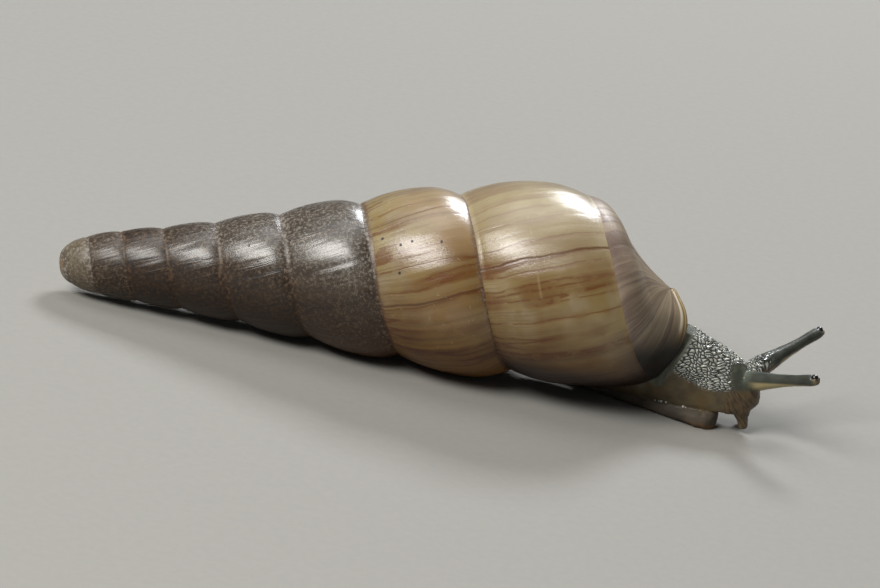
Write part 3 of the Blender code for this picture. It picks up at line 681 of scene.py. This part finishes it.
# Dust, seams, pits and the damp underside are dull, and so is the base beside the whorls.
ROUGHNESS, STREAKED, DULLED = 0.28, 0.18, 0.12
rough = add_node(look, MATH, (value["streaks"], STREAKED, ROUGHNESS), "MULTIPLY_ADD")
clear = 1.0
DULL = (("dust", "old", 0.15), ("seam", "on_band", 0.7), ("pits", "pits", 1.0),
        ("low", "low", 0.9), ("on_base", "on_base", 0.85), ("crumbs", "beside_seam", 0.6))
for name, region, strength in DULL:
    cover = add_node(look, MATH, (share[name], share[region]), "MULTIPLY")
    left = add_node(look, MATH, (cover, -strength, 1.0), "MULTIPLY_ADD")
    clear = add_node(look, MATH, (left, clear), "MULTIPLY")
    rough = add_node(look, MATH, (cover, DULLED, rough), "MULTIPLY_ADD")
look.links.new(rough.outputs[0], shader.inputs["Roughness"])
look.links.new(clear.outputs[0], shader.inputs["Coat Weight"])
carve(look, shader, GROWTH_RELIEF, (
    (value["dust"], 0.8), (value["striae"], 0.3), (value["streaks"], 0.6),
    (share["thin_lines"], -0.25), (share["rests"], -0.6)))

shell = grow("banded_shell", tree, {"Material": horn})
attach(shell, "root")
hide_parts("shell")


# ---------------------------------------------------------------- skin
# Wet, living skin, in one piece over the neck, head, foot, tail, collar and tentacles. It is
# the solids' own shape, melted together, then cobbled with the rows of warts that hold the
# slime on the animal's back.
FLESH = ("mantle_collar", "neck", "head", "foot", "tail", "upper_tentacle_right",
         "upper_tentacle_left", "lower_tentacle_right", "lower_tentacle_left")
SEAM_CLOSING = 0.06          # closes the thin cuts between the solids
DOUBLES = 0.002
VOXEL = 0.049
SMOOTH_SHARE = 0.12          # of the voxels' faces, kept where the skin is hidden or smooth
HIDDEN_END, FLANK_END, FLANK_TOP = 14.6, 18.6, 2.3      # x, x and z
GROOVE_AT_HEAD, GROOVE_SLOPE, HEAD_X = 1.3, 0.09, 20.1
NECK_AXIS = (-0.57, 2.6)     # y and z of the line that the rows of warts wind round
NECK_RADIUS = 1.9
WART_LENGTH, WART_WIDTH, WART_LEAN = 0.34, 0.15, 0.30    # the finest warts are left out
COLLAR_FOLDS, MOUTH_FOLDS = (0.26, 1.6), (0.15, 0.7)     # width and length of a fold

cells = bmesh.new()
for name in FLESH:
    solid = bmesh.new()
    solid.from_mesh(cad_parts[name].data)
    bmesh.ops.scale(solid, vec=(1.0 / MM, 1.0 / MM, 1.0 / MM), verts=solid.verts)
    bmesh.ops.remove_doubles(solid, verts=solid.verts, dist=DOUBLES)
    solid.normal_update()
    for vertex in solid.verts:
        vertex.co += vertex.normal * SEAM_CLOSING
    lump = bpy.data.meshes.new(name)
    solid.to_mesh(lump)
    solid.free()
    cells.from_mesh(lump)
    bpy.data.meshes.remove(lump)
raw = bpy.data.meshes.new("raw_skin")
cells.to_mesh(raw)
cells.free()
lump = add_object("raw_skin", raw)
melt = lump.modifiers.new("melt", "REMESH")
melt.mode = "VOXEL"
melt.voxel_size = VOXEL
melted = bpy.data.meshes.new_from_object(
    lump.evaluated_get(bpy.context.evaluated_depsgraph_get()))
lump.modifiers.clear()
lump.data = melted
plain = [vertex.index for vertex in melted.vertices if vertex.co.x < HIDDEN_END
         or (vertex.co.x < FLANK_END and vertex.co.z < FLANK_TOP)]
lump.vertex_groups.new(name="plain").add(plain, 1.0, "REPLACE")
thin = lump.modifiers.new("thin", "DECIMATE")
thin.vertex_group = "plain"
thin.ratio = 1.0 - (1.0 - SMOOTH_SHARE) * len(plain) / len(melted.vertices)
melted = bpy.data.meshes.new_from_object(
    lump.evaluated_get(bpy.context.evaluated_depsgraph_get()))
bpy.data.objects.remove(lump)

# Pockets between the solids leave crumbs inside, so only what joins the feelers is kept.
whole = bmesh.new()
whole.from_mesh(melted)
front = [max(whole.verts, key=lambda vertex: vertex.co.x)]
kept = set(front)
while front:
    for edge in front.pop().link_edges:
        for vertex in edge.verts:
            if vertex not in kept:
                kept.add(vertex)
                front.append(vertex)
bmesh.ops.delete(whole, geom=[v for v in whole.verts if v not in kept], context="VERTS")
whole.to_mesh(melted)
whole.free()


def smoothstep(low, high, value):
    """A share that runs softly from 0 at one number to 1 at the other."""
    share = np.clip((value - low) / (high - low), 0.0, 1.0)
    return share * share * (3.0 - 2.0 * share)


spots = np.zeros(len(melted.vertices) * 3)
melted.vertices.foreach_get("co", spots)
spots = spots.reshape(-1, 3)
x, y, z = spots.T

# Long tentacles: the share of the way out to the eye, how far a spot is on the underside,
# and where the skin is bare of warts.
BARE_SKIN = {"right": (-0.20, -0.05), "left": (0.08, 0.34)}     # shares of a stalk's length
STALK_RADIUS, STALK_REACH, END_POINTS = 0.36, (1.1, 0.7), 12
stalk, under, bare = np.zeros(len(spots)), np.zeros(len(spots)), np.zeros(len(spots))
for side, bare_from in BARE_SKIN.items():
    axis_points = np.array([v.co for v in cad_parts["upper_tentacle_" + side].data.vertices])
    order = np.argsort(axis_points[:, 0])
    root, tip = (axis_points[order[part]].mean(0) / MM
                 for part in (slice(0, END_POINTS), slice(-END_POINTS, None)))
    run = tip - root
    along = (spots - root) @ run / (run @ run)
    off_axis = spots - root - np.outer(along, run)
    near = smoothstep(*STALK_REACH, np.linalg.norm(off_axis, axis=1))
    stalk = np.maximum(stalk, np.clip(along, 0.0, 1.0) * near)
    under = np.where(near > 0.0, -off_axis[:, 2] / STALK_RADIUS * near, under)
    bare = np.maximum(bare, smoothstep(*bare_from, along) * near)

# Collar: a smooth band where the neck leaves the shell, further forward as it rises. Warts
# cover the back down to a border that is lowest half way along the neck, and both the rows
# and the border wander a little. The foot's fringe lies under a groove, and the sole ends
# in a thin edge, which is painted a warm orange: painted glow of light through it.
COLLAR_FRONT, COLLAR_REAR, COLLAR_FOOT = (16.25, 15.95), (12.6, 13.6), (1.6, 2.4)
COLLAR_LEAN, COLLAR_HEIGHT, FAR_LEAN, FAR_END = 0.42, 4.0, 1.2, 1.2
BORDER_HEIGHT, BORDER_BEND, BORDER_X, BORDER_SOFTNESS = 2.88, 0.11, 18.4, (-0.25, 0.2)
FACE_FROM, FOOT_ENDS, SOLE_TIP = (19.2, 20.2), (9.0, 19.8), (17.0, 18.4)
GROOVE_WIDTH, GROOVE_END = 0.08, 19.9
turn_round = np.arctan2(z - NECK_AXIS[1], NECK_AXIS[0] - y)
wander = 0.12 * np.sin(2.1 * x + 1.3 * turn_round) + 0.08 * np.sin(5.3 * x - 3.1 * turn_round)
collar = smoothstep(*COLLAR_FRONT, x - COLLAR_LEAN * (z - COLLAR_HEIGHT)
                    + FAR_LEAN * np.clip(y, 0.0, FAR_END))
collar *= smoothstep(*COLLAR_REAR, x) * smoothstep(*COLLAR_FOOT, z)
border = BORDER_HEIGHT + BORDER_BEND * (x - BORDER_X) ** 2 - 0.25 * wander
back = smoothstep(*BORDER_SOFTNESS, z - border) * (1.0 - bare) * (1.0 - collar)
mouth = smoothstep(*FACE_FROM, x) * (1.0 - back) * (1.0 - bare) * smoothstep(0.06, 0.0, stalk)
over_groove = z - GROOVE_AT_HEAD - GROOVE_SLOPE * (x - HEAD_X)
masks = {
    "fringe": smoothstep(0.12, -0.1, over_groove) * (x > FOOT_ENDS[0]) * (x < FOOT_ENDS[1]),
    "groove": np.exp(-(over_groove / GROOVE_WIDTH) ** 2) * (x < GROOVE_END),
    "edge": smoothstep(0.5, 0.1, z) * smoothstep(*SOLE_TIP, x) * (x < FOOT_ENDS[1]),
    "back": back, "collar": collar, "mouth": mouth, "stalk": stalk, "bare": bare,
    "under": np.clip(under, -1.0, 1.0),
    "along_warts": (x + WART_LEAN * turn_round * NECK_RADIUS + wander) / WART_LENGTH,
    "across_warts": (turn_round * NECK_RADIUS + 0.6 * wander) / WART_WIDTH,
    "across_folds": np.where(collar > 0.5, (x - 0.2 * z) / COLLAR_FOLDS[0],
                             (0.80 * x + 0.60 * z) / MOUTH_FOLDS[0]),
    "along_folds": np.where(collar > 0.5, z / COLLAR_FOLDS[1],
                            (0.80 * z - 0.60 * x) / MOUTH_FOLDS[1]),
}
for name, values in masks.items():
    layer = melted.attributes.new(name, "FLOAT", "POINT")
    layer.data.foreach_set("value", values.astype(np.float32))


def wart_and_fold_lines(tree, mask):
    """How far a spot is from the nearest wart's edge, and the folds' height there."""
    where = add_node(tree, "ShaderNodeCombineXYZ", (mask["along_warts"], mask["across_warts"], 0.0))
    warts = add_node(tree, "ShaderNodeTexVoronoi", {"Vector": where, "Scale": 1.0,
                                                    "Randomness": 0.85},
                     voronoi_dimensions="2D", feature="DISTANCE_TO_EDGE")
    where = add_node(tree, "ShaderNodeCombineXYZ", (mask["across_folds"], mask["along_folds"], 0.0))
    folds = add_node(tree, "ShaderNodeTexNoise", {"Vector": where, "Scale": 1.0, "Detail": 1.0},
                     noise_dimensions="2D")
    return warts.outputs["Distance"], folds


# The skin's own tree: a soft melt over the solids' facets, then warts, rolls and folds.
tree, given, result = new_tree("wet_skin", {
    "Geometry": (GEOMETRY, None), "Melt": (INT, 9), "Stalk firmness": (FLOAT, 0.8),
    "Wart height": (FLOAT, 0.075), "Wart shoulder": (FLOAT, 0.42), "Wart power": (FLOAT, 0.6),
    "Groove depth": (FLOAT, 0.07), "Roll height": (FLOAT, 0.05), "Roll spacing": (FLOAT, 0.55),
    "Fold height": (FLOAT, 0.07),
    "Material": ("NodeSocketMaterial", None)}, {"Geometry": GEOMETRY})
size = given.outputs
mask = {name: add_node(tree, "GeometryNodeInputNamedAttribute", {"Name": name},
                       data_type="FLOAT").outputs["Attribute"] for name in masks}
position = add_node(tree, "GeometryNodeInputPosition")
firm = add_node(tree, MATH, (mask["stalk"], size["Stalk firmness"]), "MULTIPLY")
yielding = add_node(tree, MATH, (1.0, firm), "SUBTRACT")
blur = add_node(tree, "GeometryNodeBlurAttribute",
                {"Iterations": size["Melt"], "Weight": yielding}, data_type="FLOAT_VECTOR")
tree.links.new(position.outputs[0],
               [s for s in blur.inputs if s.name == "Value" and s.enabled][0])
blurred = [s for s in blur.outputs if s.enabled][0]
soft = add_node(tree, "GeometryNodeSetPosition", {"Geometry": size["Geometry"],
                                                  "Position": blurred})
warts, folds = wart_and_fold_lines(tree, mask)
dome = add_node(tree, MATH, (warts, size["Wart shoulder"]), "DIVIDE", use_clamp=True)
dome = add_node(tree, MATH, (dome, size["Wart power"]), "POWER")
dome = add_node(tree, MATH, (dome, mask["back"]), "MULTIPLY")
dome = add_node(tree, MATH, (dome, size["Wart height"]), "MULTIPLY")
dent = add_node(tree, MATH, (mask["groove"], size["Groove depth"]), "MULTIPLY")
frequency = add_node(tree, MATH, (1.0, size["Roll spacing"]), "DIVIDE")
rolls = add_node(tree, "ShaderNodeTexNoise", {"Vector": position, "Scale": frequency,
                                              "Detail": 3.0})
rolls = add_node(tree, MATH, (rolls, 0.5), "SUBTRACT")
height = add_node(tree, MATH, (rolls, size["Roll height"], dome), "MULTIPLY_ADD")
folds = add_node(tree, MATH, (folds, 0.5), "SUBTRACT")
folded = add_node(tree, MATH, (mask["collar"], mask["mouth"]), "MAXIMUM")
folded = add_node(tree, MATH, (folded, size["Fold height"]), "MULTIPLY")
height = add_node(tree, MATH, (folds, folded, height), "MULTIPLY_ADD")
height = add_node(tree, MATH, (height, dent), "SUBTRACT")
placed = add_node(tree, "GeometryNodeTransform",
                  {"Geometry": lift(tree, soft, height), "Scale": (MM, MM, MM)})
rest_and_finish(tree, placed, given, result)

# Living skin under slime: thin, full of water and half clear, so light sinks into it, and
# wet, so each wart carries its own point of light.
hide, look, shader = new_material("living_skin_under_slime", {
    "IOR": 1.38, "Subsurface Weight": 0.2, "Subsurface Radius": (1.0, 0.7, 0.45),
    "Subsurface Scale": 0.3 * MM, "Coat Roughness": 0.10})
share = {name: add_node(look, "ShaderNodeAttribute", attribute_name=name).outputs["Fac"]
         for name in masks}
value = dict(share)
value["place"] = add_node(look, "ShaderNodeTexCoord").outputs["Object"]
value["warts"], value["folds"] = wart_and_fold_lines(look, value)
add_clouds(look, value, {"tone": (0.9, 4.0, 0.5), "flush": (2.2, 2.0, 0.5),
                         "grain": (0.16, 3.0, 0.5)})
share.update(take_shares(look, value, {
    "mottle": ("tone", 0.35, 0.65), "flush": ("flush", 0.45, 0.65),
    "wart_top_and_glint": ("warts", 0.05, 0.30), "crease_shade": ("folds", 0.58, 0.36),
    "on_stalk": ("stalk", 0.02, 0.20), "stalk_end": ("stalk", 0.93, 0.99),
    "under_stalk_glow": ("under", 0.45, 0.95),
}))
color = lay_colors(look, share, (
    ((), 1.0, "#4a4030"),
    (("mottle",), 1.0, "#5d533e"),
    (("flush",), 0.6, "#6e5a36"),
    (("mouth",), 0.8, "#5d4c35"),
    # The creases of the mouth's and the collar's folds are darkened: painted shade.
    (("mouth", "crease_shade"), 0.55, "#2b2118"),
    (("collar",), 0.9, "#6c7064"),
    (("collar", "crease_shade"), 0.35, "#45463f"),
    # On the back the gaps between warts are near black, painted shade, and the wart tops are a pale
    # grey with painted highlight in the palest spots.
    (("back",), 1.0, "#1c1e1a"),
    (("back", "wart_top_and_glint"), 1.0, "#868a81"),
    (("back", "wart_top_and_glint", "mottle"), 0.9, "#d2d4cb"),
    (("fringe",), 1.0, "#453e34"),
    (("fringe", "mottle"), 0.9, "#564d42"),
    # The sole's thin front edge is a warm orange: painted glow of light through it.
    (("edge",), 0.7, "#7d5a34"),
    (("bare",), 0.9, "#3b3f36"),
    (("bare", "mottle"), 0.9, "#545a4f"),
    (("on_stalk",), 1.0, "#2e312b"),
    (("on_stalk", "mottle"), 1.0, "#3e4139"),
    # The tentacles' undersides are a pale yellow: painted glow of light through the thin skin.
    (("on_stalk", "under_stalk_glow"), 1.0, "#9b8e68"),
    (("stalk_end",), 0.6, "#8d7c5c"),
))
look.links.new(color.outputs[2], shader.inputs["Base Color"])

# Slime lies thick on the warts, and thin on the flank, the foot and the tentacles.
# (socket, its value on the flank, what is added on the back and where the skin is dry)
SLIME = (("Roughness", 0.5, -0.15, 0.15), ("Coat Weight", 0.2, 0.8, -0.2))
dry = add_node(look, MATH, (share["collar"], share["fringe"]), "MAXIMUM")
for socket, on_flank, on_back, if_dry in SLIME:
    amount = add_node(look, MATH, (share["back"], on_back, on_flank), "MULTIPLY_ADD")
    amount = add_node(look, MATH, (dry, if_dry, amount), "MULTIPLY_ADD")
    look.links.new(amount.outputs[0], shader.inputs[socket])
WART_RELIEF = 0.05
domes = add_node(look, MATH, (value["warts"], share["back"]), "MULTIPLY")
carve(look, shader, WART_RELIEF, ((domes, 4.0), (value["grain"], 0.35)))

skin = grow("wet_skin", tree, {"Material": hide}, melted)
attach(skin, "root")
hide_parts(*FLESH)


# ---------------------------------------------------------------- slime beads
# A few bubbles of slime stand in the groove between the neck and the foot, each small
# enough to show as one point of light.
BEADS = ((15.24, -1.02, 0.94, 0.06), (15.50, -1.08, 0.96, 0.05), (15.66, -1.12, 0.99, 0.09),
         (15.97, -1.22, 1.03, 0.07), (16.33, -1.20, 1.00, 0.08), (16.60, -1.30, 1.03, 0.05),
         (17.13, -1.50, 1.07, 0.10), (17.30, -1.52, 1.06, 0.06))      # x, y, z, radius
BEAD_STEPS = (16, 10)


def make_balls(name, balls, steps, material):
    """A piece of smooth balls, each given as its centre and its radius."""
    shape = bmesh.new()
    for centre, radius in balls:
        bmesh.ops.create_uvsphere(shape, u_segments=steps[0], v_segments=steps[1],
                                  radius=radius * MM,
                                  matrix=Matrix.Translation(Vector(centre) * MM))
    mesh = bpy.data.meshes.new(name)
    shape.to_mesh(mesh)
    shape.free()
    mesh.shade_smooth()
    mesh.materials.append(material)
    return add_object(name, mesh)


# Clear slime: a wet, colourless film that glints like glass.
foam = new_material("clear_slime", {
    "Base Color": linear("#b9b8b0"), "Roughness": 0.08, "IOR": 1.35, "Coat Weight": 1.0})[0]

beads = make_balls("slime_beads", [(bead[:3], bead[3]) for bead in BEADS], BEAD_STEPS, foam)
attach(beads, "root")


# ---------------------------------------------------------------- eyes
# An eye sits in the knob at the end of each long tentacle: a ball of dark pigment under
# clear skin. Each is a ball sunk into the knob, so that only its front stands out.
EYE_RADIUS, EYE_STEPS = 0.25, (32, 20)
EYE_GRAIN, EYE_COLORS = 0.12, ("#0a080c", "#211922")

# Eye pigment under a clear, wet lens: near black with one sharp glint.
pupil, look, shader = new_material("eye_pigment_under_wet_lens", {
    "Roughness": 0.15, "IOR": 1.4, "Coat Weight": 1.0, "Coat Roughness": 0.08})
mottle(look, shader, EYE_GRAIN, EYE_COLORS)

for side in ("right", "left"):
    node = "eye_" + side
    corners = np.array([v.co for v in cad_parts[node].data.vertices])
    centre = (corners.min(0) + corners.max(0)) / 2.0 / MM
    eye = make_balls("glossy_" + node, [(centre, EYE_RADIUS)], EYE_STEPS, pupil)
    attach(eye, "root")
    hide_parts(node)
